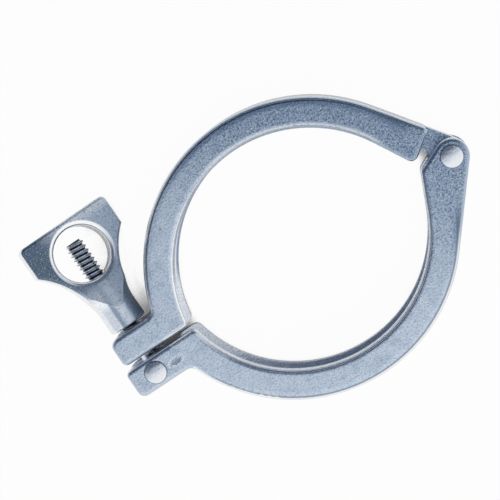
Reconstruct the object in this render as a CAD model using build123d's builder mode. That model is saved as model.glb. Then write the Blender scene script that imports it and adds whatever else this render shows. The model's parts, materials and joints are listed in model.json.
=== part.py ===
from build123d import *
from math import acos, atan2, cos, degrees, hypot, radians, sin, sqrt, tan
import os

# Hinged clamp that draws two pipe ferrules and their gasket together.
#
# Z is the ring's axis. X runs along the split between the jaws, from the lugs to the
# hinge, and Y points from the split into the upper jaw. The origin is the centre of the
# upper jaw's ring, halfway between its two faces. The clamp is modelled empty and closed,
# so its two half rings have closed past the place where they share one centre.

# --- driving dimensions, in millimetres and degrees ---

# Ring and groove, the same in both jaws
ring_depth = 21.0        # from face to face
groove_r = 60.5          # floor of the groove, past the ferrules' rims
groove_depth = 7.0       # from that floor to the lips, which pass over the pipe
groove_floor = 6.8       # width of that floor
ring_wall = 5.1          # behind the groove
flank_angle = 20.0       # slope of the flanks that wedge the ferrules together
face_round = 1.8         # edges of both faces, all round a jaw
over_closed = 11.5       # how far the empty clamp closes past a common centre

# Hinge
bar_angle = 35.6         # where the upper jaw's outside leaves its circle and runs straight
bar_length = 24.2        # from there to the upper jaw's end face
bar_inner_angle = 28.5   # where its inside leaves the lip circle
bar_inner_round = 3.0
bar_outer_round = 2.0
pin_reach = 36.25        # from the start of the straight bar to the hinge pin
eye_r = 6.7              # round end of the tongue
tongue_depth = 8.4
tongue_root = 7.8        # width of the tongue where it leaves the end face
fork_gap = 0.3           # each side of the tongue
fork_room = 0.5          # round the tongue's eye
ear_r = 7.0
ear_shoulder_angle = 114.3   # where the ears' outline leaves its round towards the ring
ear_inner_angle = -24.6      # where the lower jaw's inside leaves the lip circle
shoulder_round = 3.0

# Lugs
upper_lug_bottom = 6.7   # above the split
upper_lug_depth = 11.5   # from there to the nut's seat
upper_lug_reach = 9.3    # from the bolt to the lug's end
lower_lug_top = 4.6
lower_lug_depth = 12.2
lower_lug_reach = 10.8
lug_root_round = 3.5     # where a lug meets the outside of the ring
lug_inner_round = 2.6    # where a lug meets the lips
lug_end_round = 2.1
seat_end_round = 3.6     # lets the nut roll off its seat as the bolt swings out
lower_end_round = 3.0

# Pins, riveted: a domed head on one face, a spread end in the other
pin_r = 3.2
head_r = 4.6
head_edge = 0.4          # height of the head's rim under its dome
head_height = 1.6
spread = 0.7             # how far the riveted end spreads into its countersink
pin_gap = 0.05           # running fit, round a pin and under its head

# Bolt
bolt_stand = 9.0         # from the outside of the ring to the bolt
bolt_r = 4.0
bolt_length = 60.5       # from the pin to the tip
shank_r = 3.7            # plain part between the eye and the thread
thread_start = 15.0      # from the pin
tip_chamfer = 0.8
bolt_eye_r = 5.6
bolt_eye_depth = 8.4
eye_slot_gap = 0.3       # each side of the eye, in the lower lug
eye_slot_room = 0.9      # past the eye, at the slot's blind end
slot_gap = 0.35          # each side of the bolt, in the upper lug
slot_travel = 1.2        # how much further in the bolt lies in its slot with the clamp open

# Wing nut, with heights measured along the bolt from the nut's own foot
nut_lift = 1.3           # foot of the loose nut above its seat
nut_turn = 22.0          # how far the wings are turned out of the clamp's plane
wing_half = 20.3
wing_depth = 10.0
neck_r = 7.9
neck_height = 8.6        # height of the neck's straight part
sweep_r = 35.0           # hollow curve from the neck out to the wing's corner
cheek_height = 24.0      # where the neck's front has thinned down to the wing
cheek_round = 20.0       # hollow at the end of that slope
neck_round = 12.0        # swell at its start
blend_r = 17.0           # curve in which the round neck turns into the flat wing
window_r = 11.4
tip_room = 5.8           # from the bolt's tip to the top of the window
window_web = 3.4         # from there to the top of the nut
window_round = 1.7
wing_round = 1.3
wing_top_round = 2.2
foot_round = 1.0
nut_bore_r = 4.06

# --- worked out from the sizes above ---

half_depth = ring_depth / 2
overlap = 2.0            # how far a cutting shape runs past what it cuts
outer_r = groove_r + ring_wall
lip_r = groove_r - groove_depth
bolt_x = -outer_r - bolt_stand
upper_lug_seat = upper_lug_bottom + upper_lug_depth
upper_lug_end = bolt_x - upper_lug_reach
lower_lug_bottom = lower_lug_top - lower_lug_depth
lower_lug_end = bolt_x - lower_lug_reach
bolt_pivot = (bolt_x, (lower_lug_top + lower_lug_bottom) / 2)
foot_y = upper_lug_seat + nut_lift
window_top = bolt_pivot[1] + bolt_length + tip_room - foot_y
window_height = window_top - window_r
nut_height = window_top + window_web
eye_slot = bolt_eye_depth + 2 * eye_slot_gap
fork_r = eye_r + fork_room


def on_circle(centre, radius, angle):
    """The point of a circle at an angle from X."""
    return (centre[0] + radius * cos(radians(angle)), centre[1] + radius * sin(radians(angle)))


def angle_from(centre, point):
    """The angle from X of the line from a centre to a point, from 0 to 360."""
    return degrees(atan2(point[1] - centre[1], point[0] - centre[0])) % 360


def left_of_circle(centre, radius, y):
    """The point of a circle at height y, on its lug side."""
    return (centre[0] - sqrt(radius**2 - (y - centre[1]) ** 2), y)


def touch_angle(centre, radius, point):
    """Where a line from a point touches a circle, on the side reached anticlockwise."""
    reach = hypot(point[0] - centre[0], point[1] - centre[1])
    return angle_from(centre, point) + degrees(acos(radius / reach))


def tangents_cross(centre_1, r_1, angle_1, centre_2, r_2, angle_2):
    """Where the tangent of one circle at one angle meets that of another circle."""
    c_1, s_1 = cos(radians(angle_1)), sin(radians(angle_1))
    c_2, s_2 = cos(radians(angle_2)), sin(radians(angle_2))
    d_1 = centre_1[0] * c_1 + centre_1[1] * s_1 + r_1
    d_2 = centre_2[0] * c_2 + centre_2[1] * s_2 + r_2
    det = c_1 * s_2 - c_2 * s_1
    return ((d_1 * s_2 - d_2 * s_1) / det, (c_1 * d_2 - c_2 * d_1) / det)


def arc_between(centre, radius, start, end):
    """An arc of a circle from one angle to another, either way round."""
    return CenterArc(centre, radius, start, end - start)


def corner(sketch, point):
    """The corner of a sketch that lies at a point."""
    return sketch.vertices().sort_by_distance((point[0], point[1], 0))[0]


def face_edges(slab):
    """The edges of the top and bottom faces of a part that is still a plain slab."""
    flats = slab.faces().filter_by(Axis.Z).sort_by(Axis.Z)
    return flats[0].edges() + flats[-1].edges()


def upright(centre):
    """The plane through a point that holds X and Z, for shapes turned about the point."""
    return Plane(origin=(centre[0], centre[1], 0), x_dir=(1, 0, 0), z_dir=(0, -1, 0))


def axis_at(centre):
    """The line through a point along Z."""
    return Axis((centre[0], centre[1], 0), (0, 0, 1))


def groove_section():
    """The trapezium that the groove cuts out of a ring, as radius and height."""
    inner = lip_r - overlap
    floor = groove_floor / 2
    mouth = floor + (groove_r - inner) * tan(radians(flank_angle))
    return ((groove_r, -floor), (groove_r, floor), (inner, mouth), (inner, -mouth))


def rivet_shank(grow):
    """The corners of half a pin's shank and its spread end, or of its hole if it grows."""
    r = pin_r + grow
    return (
        (0, half_depth),
        (r, half_depth),
        (r, 2 * spread - half_depth),
        (r + spread, spread - half_depth),
        (r + spread, -half_depth),
        (0, -half_depth),
    )


# --- the places that several pieces share ---

ring_centre = (0.0, 0.0)


def on_bar(across, along):
    """A point of the upper jaw's straight bar, across from the ring's centre and along it."""
    foot = on_circle(ring_centre, across, bar_angle)
    return on_circle(foot, along, bar_angle - 90)


hinge = on_bar(outer_r - eye_r, pin_reach)
hinge_reach = hypot(hinge[0], hinge[1])
lower_centre = on_circle(hinge, hinge_reach, angle_from(hinge, ring_centre) - over_closed)
tongue_corner = on_bar(outer_r - tongue_root, bar_length)

# --- upper jaw: half ring, forked lug for the bolt, and the hinge's tongue ---

upper_lug_root = left_of_circle(ring_centre, outer_r, upper_lug_seat)
upper_lug_inside = left_of_circle(ring_centre, lip_r, upper_lug_bottom)
bar_outer_corner = on_bar(outer_r, bar_length)
bar_inner_corner = tangents_cross(
    ring_centre, bar_length, bar_angle - 90, ring_centre, lip_r, bar_inner_angle
)
taper_end = touch_angle(hinge, eye_r, tongue_corner)

with BuildPart() as upper_jaw:
    with BuildSketch() as outline:
        with BuildLine():
            arc_between(ring_centre, outer_r, bar_angle, angle_from(ring_centre, upper_lug_root))
            Polyline(
                upper_lug_root,
                (upper_lug_end, upper_lug_seat),
                (upper_lug_end, upper_lug_bottom),
                upper_lug_inside,
            )
            arc_between(
                ring_centre, lip_r, angle_from(ring_centre, upper_lug_inside), bar_inner_angle
            )
            Polyline(
                on_circle(ring_centre, lip_r, bar_inner_angle),
                bar_inner_corner,
                bar_outer_corner,
                on_bar(outer_r, 0),
            )
        make_face()
        fillet(corner(outline, upper_lug_root), lug_root_round)
        fillet(corner(outline, (upper_lug_end, upper_lug_seat)), seat_end_round)
        fillet(corner(outline, (upper_lug_end, upper_lug_bottom)), lug_end_round)
        fillet(corner(outline, upper_lug_inside), lug_inner_round)
        fillet(corner(outline, bar_inner_corner), bar_inner_round)
        fillet(corner(outline, bar_outer_corner), bar_outer_round)
    extrude(amount=half_depth, both=True)
    fillet(face_edges(upper_jaw), face_round)

    # groove for the ferrules' rims, turned about the ring's axis
    with BuildSketch(upright(ring_centre)):
        Polygon(*groove_section(), align=None)
    revolve(axis=axis_at(ring_centre), mode=Mode.SUBTRACT)

    # slot for the bolt, open at the lug's end
    with BuildSketch(upright((bolt_x + slot_travel, upper_lug_seat + overlap))):
        Circle(bolt_r + slot_gap)
        Rectangle(
            bolt_x - upper_lug_end + slot_travel + overlap,
            2 * (bolt_r + slot_gap),
            align=(Align.MAX, Align.CENTER),
        )
    extrude(amount=upper_lug_seat - upper_lug_bottom + 2 * overlap, mode=Mode.SUBTRACT)

    # tongue, which tapers from the end face to the eye round the hinge pin
    with BuildSketch():
        with BuildLine():
            Line(tongue_corner, on_circle(hinge, eye_r, taper_end))
            arc_between(hinge, eye_r, taper_end, 360 + bar_angle)
            Polyline(
                on_bar(outer_r, pin_reach),
                on_bar(outer_r, bar_length - overlap),
                on_bar(outer_r - tongue_root, bar_length - overlap),
                tongue_corner,
            )
        make_face()
    extrude(amount=tongue_depth / 2, both=True)
    with Locations((hinge[0], hinge[1], tongue_depth / 2)):
        Hole(pin_r + pin_gap, depth=tongue_depth)

# --- lower jaw: half ring, lug with a slot for the bolt's eye, and the hinge's fork ---

lower_lug_root = left_of_circle(lower_centre, outer_r, lower_lug_bottom)
lower_lug_inside = left_of_circle(lower_centre, lip_r, lower_lug_top)
ear_angle = angle_from(lower_centre, hinge) - degrees(acos((outer_r - ear_r) / hinge_reach))
shoulder = tangents_cross(hinge, ear_r, ear_shoulder_angle, lower_centre, lip_r, ear_inner_angle)
mouth_angle = touch_angle(hinge, fork_r, tongue_corner)
mouth_start = on_circle(hinge, fork_r, mouth_angle)

with BuildPart() as lower_jaw:
    with BuildSketch() as outline:
        with BuildLine():
            arc_between(
                lower_centre, outer_r, angle_from(lower_centre, lower_lug_root), ear_angle
            )
            Line(on_circle(lower_centre, outer_r, ear_angle), on_circle(hinge, ear_r, ear_angle))
            arc_between(hinge, ear_r, ear_angle - 360, ear_shoulder_angle)
            Polyline(
                on_circle(hinge, ear_r, ear_shoulder_angle),
                shoulder,
                on_circle(lower_centre, lip_r, ear_inner_angle),
            )
            arc_between(
                lower_centre,
                lip_r,
                360 + ear_inner_angle,
                angle_from(lower_centre, lower_lug_inside),
            )
            Polyline(
                lower_lug_inside,
                (lower_lug_end, lower_lug_top),
                (lower_lug_end, lower_lug_bottom),
                lower_lug_root,
            )
        make_face()
        fillet(corner(outline, shoulder), shoulder_round)
        fillet(corner(outline, lower_lug_inside), lug_inner_round)
        fillet(corner(outline, (lower_lug_end, lower_lug_top)), lug_end_round)
        fillet(corner(outline, (lower_lug_end, lower_lug_bottom)), lower_end_round)
        fillet(corner(outline, lower_lug_root), lug_root_round)
    extrude(amount=half_depth, both=True)
    fillet(face_edges(lower_jaw), face_round)

    # groove for the ferrules' rims, turned about this jaw's own centre
    with BuildSketch(upright(lower_centre)):
        Polygon(*groove_section(), align=None)
    revolve(axis=axis_at(lower_centre), mode=Mode.SUBTRACT)

    # fork: room for the tongue's eye, and for the tongue as it leaves the fork
    with BuildSketch():
        with Locations(hinge):
            Circle(fork_r)
        Polygon(
            mouth_start,
            on_circle(mouth_start, outer_r / 2, mouth_angle - 90),
            on_circle(hinge, outer_r / 2, bar_angle),
            hinge,
            align=None,
        )
    extrude(amount=tongue_depth / 2 + fork_gap, both=True, mode=Mode.SUBTRACT)

    # slot for the bolt's eye, open at the lug's end and above and below
    with BuildSketch(upright((bolt_x + bolt_eye_r + eye_slot_room, lower_lug_top + overlap))):
        Rectangle(
            bolt_x + bolt_eye_r + eye_slot_room - lower_lug_end + overlap,
            eye_slot,
            align=(Align.MAX, Align.CENTER),
        )
    extrude(amount=lower_lug_top - lower_lug_bottom + 2 * overlap, mode=Mode.SUBTRACT)

    # holes for the two rivets, each with a countersink for the spread end
    for centre in (hinge, bolt_pivot):
        with BuildSketch(upright(centre)):
            Polygon(*rivet_shank(pin_gap), align=None)
        revolve(axis=axis_at(centre), mode=Mode.SUBTRACT)


# --- pins: riveted, with a domed head on the upper face ---


def rivet(centre):
    """A riveted pin through the lower jaw at a point."""
    seat = half_depth + pin_gap
    with BuildPart() as pin:
        with BuildSketch(upright(centre)):
            Polygon(*rivet_shank(0), align=None)
            with BuildLine():
                Polyline((0, seat - 2 * pin_gap), (pin_r, seat - 2 * pin_gap), (pin_r, seat))
                Polyline((pin_r, seat), (head_r, seat), (head_r, seat + head_edge))
                TangentArc(
                    (0, seat + head_height), (head_r, seat + head_edge), tangent=(1, 0)
                )
                Line((0, seat + head_height), (0, seat - 2 * pin_gap))
            make_face()
        revolve(axis=axis_at(centre))
    return pin


hinge_pin = rivet(hinge)
bolt_pin = rivet(bolt_pivot)

# --- eye bolt: an eye that turns on its pin, a plain neck and a threaded end ---

with BuildPart() as eye_bolt:
    with BuildSketch():
        with Locations(bolt_pivot):
            Circle(bolt_eye_r)
    extrude(amount=bolt_eye_depth / 2, both=True)
    along_bolt = Plane(origin=(*bolt_pivot, 0), x_dir=(1, 0, 0), z_dir=(0, 1, 0))
    with BuildSketch(along_bolt):
        Circle(shank_r)
    extrude(amount=thread_start + overlap)
    with BuildSketch(along_bolt.offset(thread_start)):
        Circle(bolt_r)
    extrude(amount=bolt_length - thread_start)
    thread_ends = eye_bolt.edges().filter_by(GeomType.CIRCLE).sort_by(Axis.Y)
    chamfer(thread_ends[-1], tip_chamfer)
    with Locations((*bolt_pivot, bolt_eye_depth / 2)):
        Hole(pin_r + pin_gap, depth=bolt_eye_depth)

# --- wing nut: a round neck that opens into a flat wing with a round window ---

turn_c, turn_s = cos(radians(nut_turn)), sin(radians(nut_turn))
nut_foot = (bolt_x, foot_y, 0)
nut_front = Plane(origin=nut_foot, x_dir=(turn_c, 0, -turn_s), z_dir=(turn_s, 0, turn_c))
nut_side = Plane(origin=nut_foot, x_dir=(turn_s, 0, turn_c), z_dir=(-turn_c, 0, turn_s))
sweep_centre = (neck_r + sweep_r, neck_height)
sweep_end = 180 - degrees(acos((sweep_r - wing_half + neck_r) / sweep_r))
blend_centre = (neck_r + blend_r, neck_height)


def both_corners(sketch, half_width, height):
    """The two corners of a sketch of the nut that lie at a height, left and right."""
    return [corner(sketch, (side * half_width, height)) for side in (-1, 1)]


def wing_rim(nut):
    """The long edges of the wing: those of its side faces that don't run through its depth."""
    depth_way = nut_front.z_dir
    sides = nut.faces().filter_by(lambda face: abs(face.normal_at().dot(depth_way)) < 0.01)
    edges = sides.edges().filter_by(lambda edge: abs((edge % 0.5).dot(depth_way)) < 0.9)
    return edges.filter_by(lambda edge: edge.center().Y > foot_y + foot_round)


with BuildPart() as wing_nut:
    # seen from the front: neck, hollow sweep, straight wing ends
    with BuildSketch(nut_front) as front:
        with BuildLine():
            Polyline((0, 0), (neck_r, 0), (neck_r, neck_height))
            arc_between(sweep_centre, sweep_r, 180, sweep_end)
            Polyline(
                on_circle(sweep_centre, sweep_r, sweep_end),
                (wing_half, nut_height),
                (0, nut_height),
                (0, 0),
            )
        make_face()
        mirror(about=Plane.YZ)
        fillet(both_corners(front, wing_half, nut_height), wing_top_round)
    extrude(amount=neck_r, both=True)
    # seen from the side: the neck's front thins down to the wing's
    with BuildSketch(nut_side) as side:
        with BuildLine():
            Polyline(
                (0, 0),
                (neck_r, 0),
                (neck_r, neck_height),
                (wing_depth / 2, cheek_height),
                (wing_depth / 2, nut_height),
                (0, nut_height),
                (0, 0),
            )
        make_face()
        mirror(about=Plane.YZ)
        fillet(both_corners(side, wing_depth / 2, cheek_height), cheek_round)
        fillet(both_corners(side, neck_r, neck_height), neck_round)
    extrude(amount=wing_half + overlap, both=True, mode=Mode.INTERSECT)
    fillet(wing_rim(wing_nut), wing_round)
    # turned about the bolt: it makes the neck round and frees the wing
    with BuildSketch(nut_front) as turned:
        with BuildLine():
            Polyline((0, 0), (neck_r, 0), (neck_r, neck_height))
            arc_between(blend_centre, blend_r, 180, 90)
            Polyline(
                (neck_r + blend_r, neck_height + blend_r),
                (neck_r + blend_r, nut_height),
                (0, nut_height),
                (0, 0),
            )
        make_face()
        fillet(corner(turned, (neck_r, 0)), foot_round)
    revolve(axis=Axis(nut_foot, (0, 1, 0)), mode=Mode.INTERSECT)
    # window with a rolled rim
    with BuildSketch(nut_front):
        with Locations((0, window_height)):
            Circle(window_r)
    extrude(amount=neck_r, both=True, mode=Mode.SUBTRACT)
    fillet(wing_nut.edges(Select.LAST).filter_by(GeomType.LINE, reverse=True), window_round)
    # threaded hole, which opens into the window
    with BuildSketch(Plane(origin=nut_foot, x_dir=(1, 0, 0), z_dir=(0, 1, 0))):
        Circle(nut_bore_r)
    extrude(amount=window_height, mode=Mode.SUBTRACT)

# --- labels and files ---

os.makedirs("parts", exist_ok=True)
pieces = {
    "upper_jaw": upper_jaw,
    "lower_jaw": lower_jaw,
    "hinge_pin": hinge_pin,
    "bolt_pin": bolt_pin,
    "eye_bolt": eye_bolt,
    "wing_nut": wing_nut,
}
for name, piece in pieces.items():
    piece.part.label = name
    export_step(piece.part, f"parts/{name}.step")
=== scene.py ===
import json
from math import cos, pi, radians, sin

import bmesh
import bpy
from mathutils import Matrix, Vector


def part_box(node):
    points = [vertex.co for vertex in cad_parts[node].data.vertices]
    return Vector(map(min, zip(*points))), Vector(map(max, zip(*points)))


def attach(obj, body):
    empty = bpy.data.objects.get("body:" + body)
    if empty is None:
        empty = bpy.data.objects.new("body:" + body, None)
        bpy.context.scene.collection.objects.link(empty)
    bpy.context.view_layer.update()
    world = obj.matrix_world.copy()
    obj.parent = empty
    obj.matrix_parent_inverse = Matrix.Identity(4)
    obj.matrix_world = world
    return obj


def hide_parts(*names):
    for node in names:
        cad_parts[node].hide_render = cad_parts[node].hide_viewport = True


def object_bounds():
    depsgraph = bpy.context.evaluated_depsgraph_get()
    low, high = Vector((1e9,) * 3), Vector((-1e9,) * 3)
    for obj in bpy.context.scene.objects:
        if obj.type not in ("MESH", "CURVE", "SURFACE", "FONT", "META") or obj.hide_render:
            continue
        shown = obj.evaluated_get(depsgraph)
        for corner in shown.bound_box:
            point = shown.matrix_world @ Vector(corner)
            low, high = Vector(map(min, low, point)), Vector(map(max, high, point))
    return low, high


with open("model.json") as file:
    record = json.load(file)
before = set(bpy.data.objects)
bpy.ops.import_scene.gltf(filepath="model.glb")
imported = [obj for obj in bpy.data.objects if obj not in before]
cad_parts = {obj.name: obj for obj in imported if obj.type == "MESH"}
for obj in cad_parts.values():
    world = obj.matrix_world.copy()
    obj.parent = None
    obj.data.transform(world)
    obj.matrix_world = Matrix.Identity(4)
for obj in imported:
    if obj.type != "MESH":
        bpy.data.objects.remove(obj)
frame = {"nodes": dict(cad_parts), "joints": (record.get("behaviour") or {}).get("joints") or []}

# %% [markdown]
# # Sanitary hinged clamp
#
# Two grooved half rings of cast stainless steel turn on a riveted pin. A swing bolt and
# a wing nut pull their lugs together. The jaws, the pins and the nut already have their
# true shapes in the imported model, so this script gives them their metal, cuts a real
# thread on the bolt, and sets up a plain studio round them.
#
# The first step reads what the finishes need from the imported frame: the model's box, its
# nodes, and the two pivots.

MM = 0.001
box_at_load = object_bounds()
nodes = frame["nodes"]
joints = {joint["name"]: joint for joint in frame["joints"]}
hinge = Vector(joints["jaw_hinge"]["pos_m"])
bolt_pivot = Vector(joints["bolt_swing"]["pos_m"])
print("hinge", hinge, "bolt pivot", bolt_pivot)

# %% [markdown]
# ## How the finishes are written
#
# Every finish is a node tree that ends in the Principled shader. Nodes can be added and
# joined one by one, but that takes several lines for each, and the surface gets lost
# among them. The class below adds a node and feeds it in one call. A constant goes
# straight onto the socket that it is meant for.


# %% One node tree
class Nodes:
    """The nodes of one material, or of the world."""

    def __init__(self, name=None, world=None):
        self.material = world or bpy.data.materials.new(name)
        self.material.use_nodes = True
        self.nodes = self.material.node_tree.nodes
        self.links = self.material.node_tree.links
        self.nodes.clear()
        self.out = self.nodes.new("ShaderNodeOutputWorld" if world else "ShaderNodeOutputMaterial")
        self.coords = self.nodes.new("ShaderNodeTexCoord")

    def feed(self, socket, value):
        """Joins another node's output to a socket, or sets the socket to a constant."""
        if isinstance(value, bpy.types.NodeSocket):
            self.links.new(value, socket)
        else:
            socket.default_value = value

    def add(self, kind, inputs=(), operation=None):
        """Adds a node and feeds its first inputs."""
        node = self.nodes.new(kind)
        if operation:
            node.operation = operation
        for socket, value in zip(node.inputs, inputs):
            self.feed(socket, value)
        return node


# %% [markdown]
# ## Sums that place a finish
#
# Most of a finish is a sum done with shares from 0 to 1. A ramp turns a measure, such as
# a distance, into a share. A product keeps what two shares have in common, the larger of
# two joins them, and a mix lays one colour over another by a share. Each call below adds
# one node or two and returns the output, so a finish reads as a list of its zones.


# %% Sums, ramps and mixes
class Tree(Nodes):
    """A node tree whose sums are calls."""

    def math(self, operation, a, b=0.0):
        """A sum of one or two numbers, by the name of its operation."""
        return self.add("ShaderNodeMath", (a, b), operation).outputs[0]

    def times(self, a, b):
        """The product of two numbers."""
        return self.math("MULTIPLY", a, b)

    def rest_of(self, share):
        """1 less a share."""
        return self.math("SUBTRACT", 1.0, share)

    def dot(self, a, b):
        """How far one vector reaches along another."""
        return self.add("ShaderNodeVectorMath", (a, b), "DOT_PRODUCT").outputs["Value"]

    def length(self, vector):
        """The length of a vector."""
        return self.add("ShaderNodeVectorMath", (vector,), "LENGTH").outputs["Value"]

    def split(self, vector):
        """The X, Y and Z of a vector."""
        return tuple(self.add("ShaderNodeSeparateXYZ", (vector,)).outputs)

    def across(self, a, b):
        """The distance from an axis, from the two coordinates that run across it."""
        return self.length(self.add("ShaderNodeCombineXYZ", (a, b)).outputs[0])

    def ramp(self, value, low, high, start=0.0, end=1.0):
        """Start below low, end above high, and a smooth change between them."""
        node = self.add("ShaderNodeMapRange", (value, low, high, start, end))
        node.interpolation_type = "SMOOTHSTEP"
        return node.outputs[0]

    def mix(self, factor, a, b):
        """A colour between two colours."""
        node = self.nodes.new("ShaderNodeMix")
        node.data_type = "RGBA"
        self.feed(node.inputs["Factor"], factor)
        self.feed(node.inputs["A"], a)
        self.feed(node.inputs["B"], b)
        return node.outputs["Result"]


# %% [markdown]
# ## What a metal surface is made of
#
# All six pieces are bare steel. Their finishes differ in the size of the mottle, in which
# places are paler or smoother, and in how deep the grain is. Noise textures give the
# first, distances and face directions the second, and a bump node the third.
#
# Positions come from Object coordinates, so a piece keeps its own pattern when a joint
# moves it. Image textures could do the same, but they would have to be painted and
# unwrapped, and noise has no seams.


# %% One metal surface
class Surface(Tree):
    """A tree for a bare metal, with the patterns and places that finishes use."""

    def __init__(self, name):
        super().__init__(name)
        self.where = self.coords.outputs["Object"]
        self.normal = self.coords.outputs["Normal"]

    def noise(self, size_mm, detail=2.0, rough=0.5, stretch=None):
        """Noise whose blobs are about size_mm across."""
        where = self.where
        if stretch:
            mapping = self.add("ShaderNodeMapping", (where,))
            mapping.inputs["Scale"].default_value = stretch
            where = mapping.outputs[0]
        node = self.add("ShaderNodeTexNoise", (where,))
        node.inputs["Scale"].default_value = 1 / (size_mm * MM)
        node.inputs["Detail"].default_value = detail
        node.inputs["Roughness"].default_value = rough
        return node.outputs["Fac"]

    def share_of_oval(self, where, centre, half_sizes_mm, reach_mm=3.0):
        """How far each point is from an oval's centre, as a share of its half sizes.

        Along Z the half size is 3 mm, so the back of a piece counts as outside.
        """
        mapping = self.add("ShaderNodeMapping", (where,))
        mapping.vector_type = "TEXTURE"
        mapping.inputs["Location"].default_value = centre
        mapping.inputs["Scale"].default_value = [size * MM for size in (*half_sizes_mm, reach_mm)]
        return self.length(mapping.outputs[0])

    def bump(self, height, depth_mm, normal=None):
        """The surface's direction with a relief on it, over another relief if one is given."""
        node = self.nodes.new("ShaderNodeBump")
        node.inputs["Strength"].default_value = 1.0
        node.inputs["Distance"].default_value = depth_mm * MM
        self.feed(node.inputs["Height"], height)
        if normal:
            self.feed(node.inputs["Normal"], normal)
        return node.outputs[0]

    def metal(self, colour, roughness, normal):
        """Ends the tree in a bare metal and returns the material."""
        shader = self.nodes.new("ShaderNodeBsdfPrincipled")
        shader.inputs["Metallic"].default_value = 1.0
        self.feed(shader.inputs["Base Color"], colour)
        self.feed(shader.inputs["Roughness"], roughness)
        self.feed(shader.inputs["Normal"], normal)
        self.links.new(shader.outputs[0], self.out.inputs[0])
        print(self.material.name, "has", len(self.nodes), "nodes")
        return self.material


def give(node, material):
    """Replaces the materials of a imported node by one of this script's."""
    nodes[node].data.materials.clear()
    nodes[node].data.materials.append(material)
    print(node, "now has", material.name)


# %% [markdown]
# ## Cast and tumbled steel
#
# The jaws are castings with rounded edges. Their flat faces have a faint cloudy mottle
# with fine pale and dark grain in it, their rounded rims are smoother, and their walls
# have the same satin skin as the faces, a little paler.
#
# Real steel takes its light and dark from the room round it, and this studio is plainer
# than a room. So part of the tone is laid into the colour here: the run from pale lugs to
# a dark hinge, the borders of the faces, and the dark wall of the inner lip. These stand
# for shading and not for any stain. They are fixed to the casting, so they stay where
# they are when the view changes, which a true reflection would not.
#
# The zones are measured from the ring's own sizes. Half its depth comes from the packed
# jaw's box. The radii are written out, because a mesh cuts an arc's corners and its box
# comes out a little small. Closed and empty, the lower jaw has turned past the place
# where both half rings share a centre, so its own centre lies higher.

# %% Sizes and centres of the rings
over_closed = radians(11.5)
upper_centre = Vector((0, 0, 0))
lower_centre = hinge + Matrix.Rotation(-over_closed, 3, "Z") @ (upper_centre - hinge)
half_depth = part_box("upper_jaw")[1].z
outer_r = 65.6 * MM
ring_width = 12.1 * MM
lip_r = outer_r - ring_width
split_y = 5 * MM
to_dark_end = Vector((0.767, 0.690, 0))
print("lower centre", lower_centre, "lip radius", lip_r, "half depth", half_depth)


# %% Places on a jaw
class JawSurface(Surface):
    """A jaw's metal, with the noises and masks that its zones are made of."""

    def __init__(self, name, centre):
        super().__init__(name)
        y, z = self.split(self.where)[1:]
        self.cloud = self.noise(5.0, 3.0, 0.6)
        self.patch = self.noise(0.8, 2.0, 0.6)
        self.grain = self.noise(0.45, 3.0, 0.7)
        self.run = self.ramp(self.dot(self.where, to_dark_end), -12 * MM, 66 * MM)
        from_middle = self.math("ABSOLUTE", z)
        top = self.ramp(from_middle, half_depth - 0.35 * MM, half_depth - 0.01 * MM)
        level = self.math("ABSOLUTE", self.split(self.normal)[2])
        self.flat_face = self.math("MAXIMUM", top, self.ramp(level, 0.97, 0.995))
        self.rim = self.ramp(from_middle, half_depth - 1.3 * MM, half_depth - 0.7 * MM)
        offset = self.add("ShaderNodeVectorMath", (self.where, centre), "SUBTRACT").outputs[0]
        self.radius = self.across(*self.split(offset)[:2])
        # The lugs and the hinge lie near the split. Beyond 24 mm there is only the ring.
        from_split = self.math("ABSOLUTE", self.math("SUBTRACT", y, split_y))
        self.on_ring = self.ramp(from_split, 15 * MM, 24 * MM)


# %% [markdown]
# ## The mottle of the flat faces
#
# The mottle is three noises laid over each other: clouds 5 mm across, dark patches of
# 0.8 mm and pale grain of 0.45 mm. One noise alone looks like a printed pattern. The last
# two are stronger towards the dark end.


# %% The faces' colour
def face_colour(jaw):
    """The run from pale to dark, with the mottle on it."""
    pale_end = (0.62, 0.71, 0.82, 1)
    dark_end = (0.28, 0.37, 0.50, 1)
    cloud_tone = (0.24, 0.33, 0.46, 1)
    patch_tone = (0.10, 0.16, 0.26, 1)
    grain_tone = (0.74, 0.80, 0.86, 1)
    # Painted shade: the face runs from pale at the lugs to dark at the hinge.
    face = jaw.mix(jaw.run, pale_end, dark_end)
    face = jaw.mix(jaw.ramp(jaw.cloud, 0.40, 0.75, 0.0, 0.35), face, cloud_tone)
    dark = jaw.times(jaw.ramp(jaw.patch, 0.47, 0.62), jaw.ramp(jaw.run, 0, 1, 0.30, 0.95))
    face = jaw.mix(dark, face, patch_tone)
    pale = jaw.times(jaw.ramp(jaw.grain, 0.53, 0.66), jaw.ramp(jaw.run, 0, 1, 0.65, 1.0))
    return jaw.mix(pale, face, grain_tone)
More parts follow.
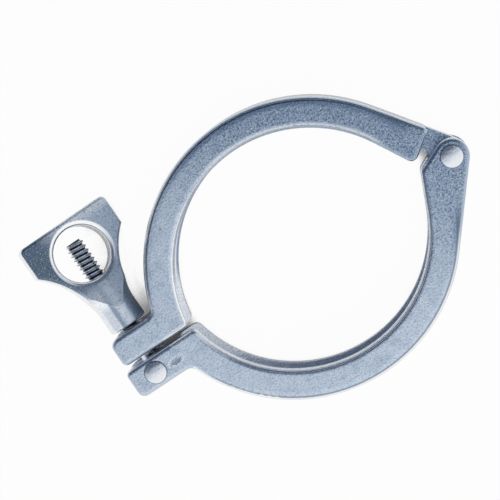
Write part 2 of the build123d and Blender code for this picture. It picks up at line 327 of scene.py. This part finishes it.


# %% [markdown]
# ## Borders of the flat faces
#
# Two borders follow the ring. Along the outer one run a thin dark line and, towards the
# dark end, a band whose edge the clouds make ragged: both are painted shade. Along the
# inner one runs a pale edge, again towards the dark end, which is a painted highlight. A
# distance from the ring's centre places all three, so they are true arcs and need no texture
# image.


# %% The borders
def with_borders(jaw, face):
    """The face's colour with painted shade along the outer border and a painted highlight on the
    inner edge.
    """
    band_shade = (0.16, 0.24, 0.36, 1)
    line_tone = (0.13, 0.18, 0.26, 1)
    inner_highlight = (0.86, 0.90, 0.94, 1)
    ragged = jaw.math("ADD", jaw.radius, jaw.times(jaw.cloud, 3 * MM))
    band = jaw.times(jaw.on_ring, jaw.ramp(ragged, outer_r - 2.4 * MM, outer_r - 1.2 * MM))
    band = jaw.times(band, jaw.ramp(jaw.run, 0.1, 0.6, 0.0, 0.55))
    face = jaw.mix(band, face, band_shade)
    line = jaw.ramp(jaw.radius, outer_r - 2.0 * MM, outer_r - 1.4 * MM, 0.0, 0.8)
    face = jaw.mix(jaw.times(jaw.on_ring, line), face, line_tone)
    inner = jaw.ramp(jaw.radius, lip_r + 1.1 * MM, lip_r + 3.3 * MM, 0.6, 0.0)
    inner = jaw.times(jaw.times(jaw.on_ring, inner), jaw.ramp(jaw.run, 0.30, 0.65))
    return jaw.mix(inner, face, inner_highlight)


# %% [markdown]
# ## Marks
#
# The upper sides of the jaws have four small marks. One, on the lower lug, is wide enough
# to show a pale lip round it. They could be cut into the mesh, but they are shallow, so
# they are ovals in the finish. The mottle pushes each outline about, because a clean oval
# looks drilled.

# %% The marks: centre and half sizes in mm, strength, and the strength of a pale lip
marks = [
    ((-65.3, -2.15), (3.4, 1.6), 0.75, 0.7),
    ((-40.7, 44.5), (1.0, 0.6), 0.8, 0.0),
    ((57.9, -5.7), (1.0, 0.7), 0.7, 0.0),
    ((-63.0, 15.0), (0.7, 2.2), 0.35, 0.0),
]


def with_marks(jaw, face):
    """The face's colour with its marks, and how deep they are at each point."""
    pit_tone = (0.08, 0.12, 0.19, 1)
    lip_tone = (0.88, 0.91, 0.95, 1)
    push = jaw.times(jaw.math("SUBTRACT", jaw.patch, 0.5), 3 * MM)
    pushed = jaw.add("ShaderNodeVectorMath", (jaw.where, push), "ADD").outputs[0]
    pits = 0.0
    for (x, y), half_sizes, strength, lip_strength in marks:
        away = jaw.share_of_oval(pushed, (x * MM, y * MM, half_depth), half_sizes)
        pits = jaw.math("MAXIMUM", pits, jaw.ramp(away, 0.4, 0.9, strength, 0.0))
        if lip_strength:
            lip = jaw.times(jaw.ramp(away, 0.8, 1.0), jaw.ramp(away, 1.0, 1.3, lip_strength, 0.0))
            face = jaw.mix(lip, face, lip_tone)
    return jaw.mix(jaw.times(pits, 0.6), face, pit_tone), pits


# %% [markdown]
# ## Walls and rims
#
# The walls keep the satin skin of the casting. The rounded rims run from pale to dark as
# the faces do, in painted shade, and have a painted dark edge where they turn down to the
# outer wall. The wall of the inner lip has painted shade too, strongly on the upper jaw and
# slightly on the lower.


# %% The walls' and rims' colour
def edge_colour(jaw, lip_shade):
    """The colour of everything but the flat faces."""
    pale_skin = (0.84, 0.87, 0.91, 1)
    grey_skin = (0.66, 0.72, 0.80, 1)
    pale_rim = (0.92, 0.93, 0.95, 1)
    dark_rim = (0.36, 0.45, 0.57, 1)
    shaded_lip = (0.22, 0.30, 0.42, 1)
    outline_shade = (0.40, 0.47, 0.56, 1)
    wall = jaw.mix(jaw.ramp(jaw.patch, 0.42, 0.62), pale_skin, grey_skin)
    # The rims take the faces' painted run from pale to dark.
    rim = jaw.mix(jaw.times(jaw.run, 0.9), pale_rim, dark_rim)
    edges = jaw.mix(jaw.rim, wall, rim)
    lip_wall = jaw.ramp(jaw.radius, lip_r + 0.4 * MM, lip_r + 0.9 * MM, lip_shade, 0.0)
    lip_wall = jaw.times(jaw.times(jaw.on_ring, lip_wall), jaw.rest_of(jaw.rim))
    edges = jaw.mix(lip_wall, edges, shaded_lip)
    # Painted shade along the rims' outer edge.
    outline = jaw.ramp(jaw.radius, outer_r - 0.5 * MM, outer_r - 0.1 * MM, 0.0, 0.7)
    return jaw.mix(jaw.times(jaw.rim, outline), edges, outline_shade)


# %% [markdown]
# ## Relief of the castings
#
# The grain stands about a tenth of a millimetre high, and is much weaker on the rims. The
# faces also fall away by a quarter of a millimetre towards both borders of the ring,
# because the face of a tumbled casting isn't dead flat. Both are bump nodes: relief this
# low doesn't show in an outline, and as real geometry it would take very many facets.


# %% The jaws' relief
def casting_normal(jaw, pits, polish):
    """The surface's direction, with the crown of the faces and the grain on it."""
    height = jaw.math("ADD", jaw.times(jaw.patch, 0.7), jaw.times(jaw.grain, 0.45))
    height = jaw.math("SUBTRACT", height, jaw.times(pits, 0.9))
    height = jaw.times(height, jaw.ramp(polish, 0.0, 0.10, 1.0, 0.2))
    outer = jaw.ramp(jaw.radius, outer_r - 3.6 * MM, outer_r - 0.2 * MM, 1.0, 0.0)
    level = jaw.times(outer, jaw.ramp(jaw.radius, lip_r + 0.3 * MM, lip_r + 2.5 * MM))
    fall = jaw.times(jaw.on_ring, jaw.rest_of(level))
    crowned = jaw.bump(jaw.rest_of(fall), 0.25)
    return jaw.bump(height, 0.18, crowned)


# %% [markdown]
# ## The jaws' finish, put together
#
# Both jaws are of the same steel, so one function makes it. They differ in the centre
# that their borders are measured from, and in the shade of the inner lip's wall. The
# rims are a little glossier than the rest.


# %% The jaws' finish
def cast_steel(name, centre, lip_shade):
    """The finish of one jaw."""
    jaw = JawSurface(name, centre)
    face, pits = with_marks(jaw, with_borders(jaw, face_colour(jaw)))
    colour = jaw.mix(jaw.flat_face, edge_colour(jaw, lip_shade), face)
    polish = jaw.times(jaw.rim, jaw.ramp(jaw.flat_face, 0.0, 1.0, 0.10, 0.0))
    roughness = jaw.math("SUBTRACT", jaw.ramp(jaw.grain, 0.3, 0.7, 0.24, 0.38), polish)
    return jaw.metal(colour, roughness, casting_normal(jaw, pits, polish))


give("upper_jaw", cast_steel("upper_jaw_steel", upper_centre, 0.9))
give("lower_jaw", cast_steel("lower_jaw_steel", lower_centre, 0.2))

# %% [markdown]
# ## Riveted pins
# The pins' heads are low domes, brighter than the castings round them, and they gather
# the light in one soft spot. Fine marks, longer one way than the other, break that spot
# up: they are a noise that is stretched by a Mapping node. The dark ring at the border is
# painted shade in the narrow gap between head and jaw. Its mask has no outer end, so the shank
# and the lower end of a pin are dark as well. The lower end would need an oval of its own.

# %% The pins' finish
head_r_mm = 4.6


def pin_steel(name, centre):
    """The finish of one pin, whose head is at a centre."""
    pin = Surface(name)
    scratch = pin.noise(0.6, 2.0, 0.6, stretch=(1.0, 0.3, 1.0))
    grey_steel = (0.70, 0.75, 0.81, 1)
    bright_steel = (0.93, 0.94, 0.96, 1)
    gap_shade = (0.12, 0.17, 0.25, 1)
    colour = pin.mix(scratch, grey_steel, bright_steel)
    head_centre = (centre.x, centre.y, half_depth)
    head = pin.share_of_oval(pin.where, head_centre, (head_r_mm, head_r_mm))
    # Painted shade in the gap round the head.
    colour = pin.mix(pin.ramp(head, 0.93, 0.99), colour, gap_shade)
    roughness = pin.ramp(scratch, 0.3, 0.7, 0.26, 0.42)
    return pin.metal(colour, roughness, pin.bump(pin.noise(1.4, 2.0), 0.16))


give("hinge_pin", pin_steel("hinge_pin_steel", hinge))
give("bolt_pin", pin_steel("bolt_pin_steel", bolt_pivot))

# %% [markdown]
# ## Wing nut
#
# The nut is a casting with a rougher skin than the jaws. Its faces are grainy, and its
# narrow sides and the rolled rim of its window are smooth and pale. It is turned about
# the bolt, so its finish is laid out in axes of its own: X across the wing and Y along
# the bolt, both from the middle of the window. A Mapping node of type Texture does that.
# Only the front is told from the sides, so the back is smooth and pale as they are.
#
# As on the jaws, part of the tone is laid in and fixed to the piece: the dark left half
# of the face, the pale brow above the window, and the pale left side and light middle of
# the neck.

# %% The nut's own axes
nut_turn = radians(22.0)
foot_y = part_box("wing_nut")[0].y
window_centre = Vector((bolt_pivot.x, foot_y + 33.9 * MM, 0))
window_r = 11.4 * MM
nut_front = Vector((sin(nut_turn), 0, cos(nut_turn)))
print("nut's foot", foot_y, "window", window_centre)


# %% Places on the nut
class NutSurface(Surface):
    """The nut's metal, with the noises and masks that its zones are made of."""

    def __init__(self, name):
        super().__init__(name)
        mapping = self.add("ShaderNodeMapping", (self.where,))
        mapping.vector_type = "TEXTURE"
        mapping.inputs["Location"].default_value = window_centre
        mapping.inputs["Rotation"].default_value = (0, nut_turn, 0)
        self.x, self.y = self.split(mapping.outputs[0])[:2]
        self.patch = self.noise(1.0, 2.0, 0.6)
        self.grain = self.noise(0.45, 3.0, 0.7)
        from_window = self.across(self.x, self.y)
        self.rim = self.ramp(from_window, window_r + 1.4 * MM, window_r + 2.1 * MM, 1.0, 0.0)
        self.front = self.dot(self.normal, nut_front)
        # The pale left side of the neck is a painted highlight: it counts as a side and takes
        # their pale colour.
        left = self.ramp(self.x, -4.4 * MM, -3.4 * MM, 1.0, 0.0)
        left = self.times(left, self.ramp(self.y, -20 * MM, -13 * MM, 1.0, 0.0))
        self.side = self.math("MAXIMUM", self.ramp(self.front, 0.05, 0.45, 1.0, 0.0), left)


# %% The neck and wing of the nut
def wing_and_neck(nut):
    """The painted light and shade of the wing's two halves, of the neck and of the brow."""
    dark_half = (0.12, 0.17, 0.24, 1)
    light_half = (0.46, 0.55, 0.67, 1)
    neck_front = (0.60, 0.69, 0.80, 1)
    neck_round = (0.36, 0.45, 0.57, 1)
    neck_light = (0.80, 0.87, 0.94, 1)
    brow_highlight = (0.85, 0.89, 0.93, 1)
    # All these tones are painted light and shade. The left half and the round of the neck are
    # painted shade, and the right half, the neck's front and middle and the brow are painted
    # light.
    right = nut.ramp(nut.x, -14 * MM, 2 * MM)
    face = nut.mix(right, dark_half, light_half)
    on_neck = nut.ramp(nut.y, -18 * MM, -10 * MM, 1.0, 0.0)
    face = nut.mix(on_neck, face, neck_front)
    round_part = nut.times(on_neck, nut.ramp(nut.front, 0.95, 0.995, 1.0, 0.0))
    face = nut.mix(round_part, face, neck_round)
    from_middle = nut.math("ABSOLUTE", nut.math("ADD", nut.x, 0.2 * MM))
    middle = nut.times(on_neck, nut.ramp(from_middle, 0.6 * MM, 2.8 * MM, 0.9, 0.0))
    face = nut.mix(middle, face, neck_light)
    brow = nut.times(nut.ramp(nut.y, 9 * MM, 14 * MM, 0.0, 0.7), right)
    return nut.mix(brow, face, brow_highlight)


def with_pits(nut, face):
    """The face's colour with dark patches and pale grain over it."""
    patch_tone = (0.12, 0.18, 0.28, 1)
    grain_tone = (0.80, 0.86, 0.92, 1)
    face = nut.mix(nut.ramp(nut.patch, 0.50, 0.70, 0.0, 0.5), face, patch_tone)
    return nut.mix(nut.ramp(nut.grain, 0.55, 0.68, 0.0, 0.85), face, grain_tone)


# %% [markdown]
# ## The nut's finish, put together
#
# The rim of the window and the sides take a bright colour, a little more gloss and no
# relief. The faces take the tones above and the grain of the casting.


# %% The nut's finish
def nut_steel():
    """The finish of the nut."""
    bright_steel = (0.93, 0.94, 0.95, 1)
    grey_steel = (0.74, 0.79, 0.85, 1)
    nut = NutSurface("nut_steel")
    smooth = nut.math("MAXIMUM", nut.rim, nut.side)
    mottled = nut.times(nut.side, nut.ramp(nut.patch, 0.42, 0.62, 0.15, 0.8))
    bright = nut.mix(mottled, bright_steel, grey_steel)
    colour = nut.mix(smooth, with_pits(nut, wing_and_neck(nut)), bright)
    roughness = nut.ramp(nut.grain, 0.3, 0.7, 0.26, 0.42)
    roughness = nut.math("SUBTRACT", roughness, nut.times(smooth, 0.12))
    skin = nut.times(nut.grain, nut.rest_of(smooth))
    return nut.metal(colour, roughness, nut.bump(skin, 0.22))


give("wing_nut", nut_steel())

# %% [markdown]
# ## Swing bolt
#
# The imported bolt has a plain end, because a thread's thin edges are no use to a contact
# solver. Here it is cut for real: the surface of the rod rises and falls with a phase
# that advances by one pitch for each turn, which is what a thread is. A spiral swept
# along a curve would give the same form, but its ends would need cutting and closing.

# %% Sizes of the bolt
pitch = 2.0 * MM
thread_r = 3.96 * MM
root_r = 2.85 * MM
shank_r = 3.6 * MM
eye_r = 5.6 * MM
eye_half = 4.2 * MM
thread_start = 15.0 * MM
end_chamfer = 1.1 * MM
eye_hole_r = 3.25 * MM
eye_chamfer = 0.5 * MM
bolt_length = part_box("eye_bolt")[1].y - bolt_pivot.y
print("bolt length", bolt_length)


# %% Thread and shank in one turned surface
def thread_radius(along, turn):
    """The rod's radius at a distance from the pivot, at a share of a turn."""
    if along < thread_start:
        return shank_r
    phase = (along / pitch - turn) % 1.0
    # A factor of 2 would make a plain V. The rest leaves a narrow flat at the root.
    depth = min(abs(phase - 0.5) * 2.15, 1.0)
    radius = thread_r - (thread_r - root_r) * depth
    run_in = min((along - thread_start) / pitch, 1.0)
    radius = shank_r + (radius - shank_r) * run_in
    return min(radius, thread_r - end_chamfer + (bolt_length - along))


def ring_of_points(mesh, along, count):
    """One ring of vertices round the rod, at a distance from the pivot."""
    ring = []
    for i in range(count):
        angle = 2 * pi * i / count
        radius = thread_radius(along, i / count)
        ring.append(mesh.verts.new((radius * cos(angle), along, radius * sin(angle))))
    return ring


def make_rod():
    """The shank and thread: rings of vertices, eighteen to each turn of the thread."""
    mesh = bmesh.new()
    count = 56
    step = pitch / 18
    rings = [ring_of_points(mesh, 0.0, count), ring_of_points(mesh, thread_start - step, count)]
    rows = int((bolt_length - thread_start) / step)
    rings += [ring_of_points(mesh, thread_start + i * step, count) for i in range(rows)]
    rings.append(ring_of_points(mesh, bolt_length, count))
    for low, high in zip(rings, rings[1:]):
        for i in range(count):
            j = (i + 1) % count
            mesh.faces.new((low[i], high[i], high[j], low[j]))
    mesh.faces.new(rings[0])
    mesh.faces.new(reversed(rings[-1]))
    bmesh.ops.recalc_face_normals(mesh, faces=mesh.faces)
    return mesh


# %% [markdown]
# ## The bolt's eye
#
# The eye is a short thick tube round the bolt's pivot, with its outer edges bevelled. The
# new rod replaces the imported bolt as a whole, so the eye is made anew as well. Its half
# section has six corners, which are carried round the pivot's axis. A cylinder with a
# hole cut by a Boolean would do too, but a turned section comes out clean at once.


# %% The eye
def make_eye():
    """The eye: one half section after another round the pivot's axis."""
    mesh = bmesh.new()
    count = 64
    bevel_r = eye_r - eye_chamfer
    bevel_z = eye_half - eye_chamfer
    outline = [(eye_hole_r, -eye_half), (bevel_r, -eye_half), (eye_r, -bevel_z)]
    outline += [(eye_r, bevel_z), (bevel_r, eye_half), (eye_hole_r, eye_half)]
    rings = []
    for i in range(count):
        angle = 2 * pi * i / count
        rings.append([mesh.verts.new((r * cos(angle), r * sin(angle), z)) for r, z in outline])
    for i in range(count):
        low, high = rings[i], rings[(i + 1) % count]
        for k in range(len(outline)):
            m = (k + 1) % len(outline)
            mesh.faces.new((low[k], high[k], high[m], low[m]))
    bmesh.ops.recalc_face_normals(mesh, faces=mesh.faces)
    return mesh


def as_object(mesh, name):
    """Puts a mesh into the scene at the bolt's pivot."""
    data = bpy.data.meshes.new(name)
    mesh.to_mesh(data)
    mesh.free()
    made = bpy.data.objects.new(name, data)
    bpy.context.scene.collection.objects.link(made)
    made.location = bolt_pivot
    return made


rod = as_object(make_rod(), "threaded_bolt")
eye = as_object(make_eye(), "bolt_eye")
for polygon in rod.data.polygons:
    polygon.use_smooth = True
print("rod faces", len(rod.data.polygons), "eye faces", len(eye.data.polygons))


# %% [markdown]
# ## The thread's finish
#
# A cut thread is dark in its root, where it lies in shade, bright on its flanks and
# darker again on its narrow crests, which face straight out. Part of that light and shade
# is painted into the colour: painted shade in the root and on the crests, and a painted
# highlight on the flanks. The distance from the bolt's axis tells the three apart.


# %% The thread's finish
def thread_steel():
    """The finish of the bolt."""
    root_tone = (0.03, 0.05, 0.08, 1)
    flank_tone = (0.86, 0.89, 0.93, 1)
    crest_tone = (0.20, 0.25, 0.33, 1)
    bolt = Surface("thread_steel")
    place = bolt.split(bolt.where)
    crest = bolt.ramp(bolt.across(place[0], place[2]), root_r, thread_r)
    # Painted shade in the root and on the crests, and a painted highlight on the flanks.
    colour = bolt.mix(bolt.ramp(crest, 0.10, 0.45), root_tone, flank_tone)
    colour = bolt.mix(bolt.ramp(crest, 0.80, 0.97), colour, crest_tone)
    grain = bolt.noise(0.4, 3.0, 0.6)
    roughness = bolt.ramp(grain, 0.3, 0.7, 0.25, 0.40)
    return bolt.metal(colour, roughness, bolt.bump(grain, 0.03))


steel = thread_steel()
for piece in (rod, eye):
    piece.data.materials.append(steel)
    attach(piece, "eye_bolt")
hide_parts("eye_bolt")

# %% [markdown]
# ## Studio
#
# Bare metal shows what is round it, so this studio is laid out as something to mirror.
#
# The floor is a wide pale plane. The camera sees it glow a plain white where it lies open.
# In narrow gaps it sees the floor's paint instead, which turns dark there and deepens the
# shadow. Reflections see the glow too, dimmer close under the clamp. Diffuse light doesn't
# see it. An Ambient Occlusion node tells how open each place of the floor is.


# %% Floor
def floor_finish():
    """A pale floor that glows for the camera and for reflections."""
    shadow_paint = (0.02, 0.03, 0.05, 1)
    white_paint = (0.9, 0.9, 0.9, 1)
    tree = Tree("floor")
    path = tree.nodes.new("ShaderNodeLightPath")
    mirrored = path.outputs["Is Glossy Ray"]
    nook = tree.nodes.new("ShaderNodeAmbientOcclusion")
    nook.samples = 8
    nook.inputs["Distance"].default_value = 12 * MM
    openness = nook.outputs["AO"]
    open_floor = tree.ramp(openness, 0.20, 0.42)
    paint = tree.mix(open_floor, shadow_paint, white_paint)
    diffuse = tree.add("ShaderNodeBsdfDiffuse", (paint,))
    under_edges = tree.ramp(openness, 0.50, 0.72, 0.10, 0.95)
    dimmed = tree.times(mirrored, tree.math("SUBTRACT", under_edges, 1.0))
    glow = tree.nodes.new("ShaderNodeEmission")
    tree.feed(glow.inputs["Strength"], tree.math("ADD", dimmed, 1.0))
    seen = tree.times(path.outputs["Is Camera Ray"], open_floor)
    share = tree.times(tree.math("MAXIMUM", seen, mirrored), 0.96)
    blend = tree.add("ShaderNodeMixShader", (share, diffuse.outputs[0], glow.outputs[0]))
    tree.links.new(blend.outputs[0], tree.out.inputs[0])
    return tree.material


floor_gap = 0.1 * MM
bpy.ops.mesh.primitive_plane_add(size=6.0, location=(0, 0, box_at_load[0][2] - floor_gap))
floor = bpy.context.object
floor.name = "floor"
floor.data.materials.append(floor_finish())
print("floor at", floor.location.z)

# %% [markdown]
# ## Dome
#
# The light is a dome, with no lamps. It is white round the horizon and on the near right,
# grey overhead and dark on the far left. The flat faces mirror the grey part and read as
# blue-grey, the rounded rims catch the white, and a few edges catch the dark. Lamps would
# leave small hard spots on the steel. The camera itself sees a white backdrop.
#
# Near, far, left and right are those of the camera's view, which is turned 34 degrees
# about the ring's axis.

# %% Dome
scene = bpy.context.scene
scene.view_settings.view_transform = "Standard"
world = bpy.data.worlds.new("dome")
scene.world = world
dome = Tree(world=world)
view_turn = Matrix.Rotation(radians(-34.05), 3, "Z")
view_up = view_turn @ Vector((0, 1, 0))
view_right = view_turn @ Vector((1, 0, 0))
sky = dome.coords.outputs["Generated"]
height = dome.dot(sky, (0, 0, 1))
beyond = dome.dot(sky, 0.78 * view_up - 0.62 * view_right)
low = dome.ramp(height, -0.05, 0.12, 1.0, 0.0)
near_side = dome.ramp(beyond, -0.34, 0.0, 1.0, 0.0)
lit = dome.math("MAXIMUM", low, near_side)
overhead = dome.ramp(beyond, 0.06, 0.42, 1.0, 0.0)
far_dark = (0.08, 0.11, 0.17, 1)
overhead_grey = (0.66, 0.70, 0.76, 1)
white = (1.0, 1.0, 1.0, 1)
light = dome.mix(lit, dome.mix(overhead, far_dark, overhead_grey), white)
path = dome.nodes.new("ShaderNodeLightPath")
light = dome.mix(path.outputs["Is Camera Ray"], light, white)
background = dome.add("ShaderNodeBackground", (light,))
dome.links.new(background.outputs[0], dome.out.inputs[0])
print("dome has", len(dome.nodes), "nodes")

# %% [markdown]
# ## Camera
#
# The clamp lies flat and is seen from almost straight above, turned so that the split
# runs up to the right. The tilt is about nine degrees, enough to show some of the walls.
# A long lens keeps the perspective weak.

# %% Camera
up_in_view = Vector((-0.0627, -0.136, 0.9887)).normalized()
tilt = up_in_view.rotation_difference(Vector((0, 0, 1))).to_matrix()
turn = view_turn @ tilt
aim = Vector((-16.11, 18.08, 10.5)) * MM
camera_distance = 0.7
camera_data = bpy.data.cameras.new("camera")
camera_data.lens = 129.3
camera_data.sensor_width = 36.0
camera_data.clip_end = 20.0
camera = bpy.data.objects.new("camera", camera_data)
scene.collection.objects.link(camera)
place = aim + turn @ Vector((0, 0, camera_distance))
camera.matrix_world = Matrix.Translation(place) @ turn.to_4x4()
scene.camera = camera
print("camera at", place)
